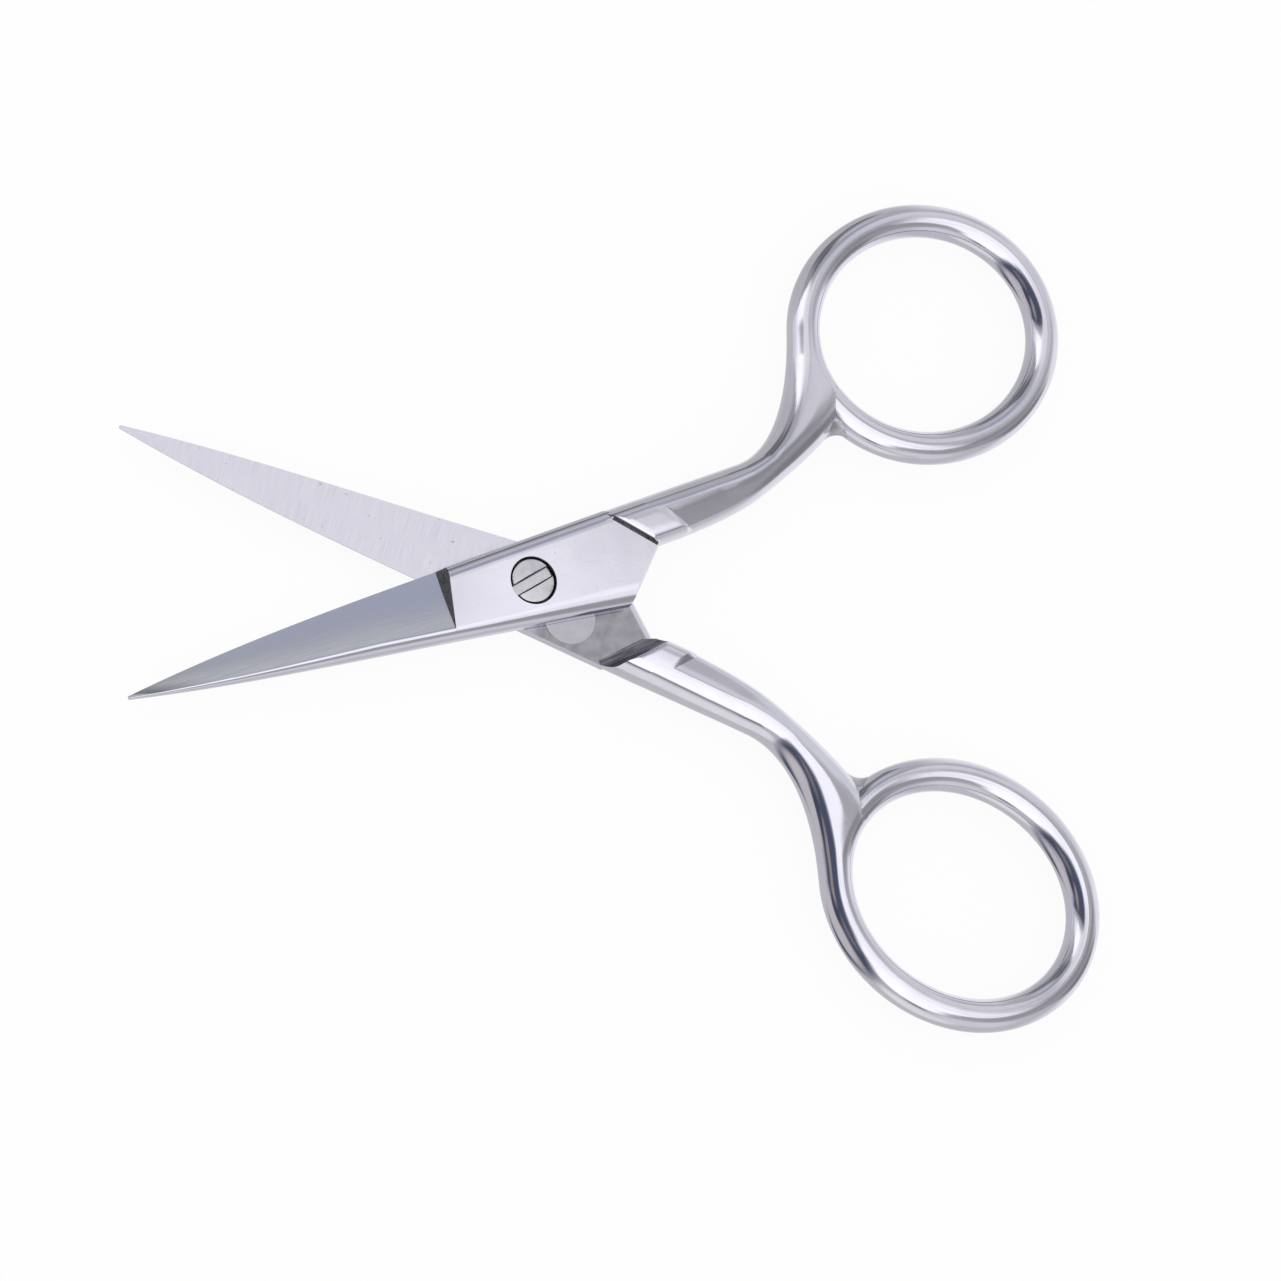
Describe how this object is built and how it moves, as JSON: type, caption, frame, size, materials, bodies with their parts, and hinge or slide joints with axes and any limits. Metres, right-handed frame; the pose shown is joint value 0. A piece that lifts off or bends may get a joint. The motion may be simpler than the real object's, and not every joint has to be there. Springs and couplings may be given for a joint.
{
  "type": "embroidery scissors",
  "caption": "Small polished-steel embroidery scissors with slim pointed blades, a slotted pivot screw and oval finger rings, for snipping thread.",
  "frame": {"origin": "on the pivot axis, in the flat outer face of the rear half's joint plate", "axes": "+X along the closed scissors from the blade tips to the finger rings, +Z along the pivot axis from the rear half to the screw head, +Y towards the front half's ring"},
  "size_m": [0.0931, 0.0796, 0.0046],
  "materials": {
    "polished_steel": "mirror polish, blades ground satin",
    "screw_steel": "fine turned"
  },
  "bodies": {
    "rear": {"rear_half": "polished_steel", "pivot_screw": "screw_steel"},
    "front": {"front_half": "polished_steel"}
  },
  "joints": [
    {"name": "pivot", "type": "hinge", "parent": "rear", "child": "front", "pos_m": [0, 0, 0.00192], "axis": [0, 0, 1], "range_deg": [-36.4, 96]}
  ]
}
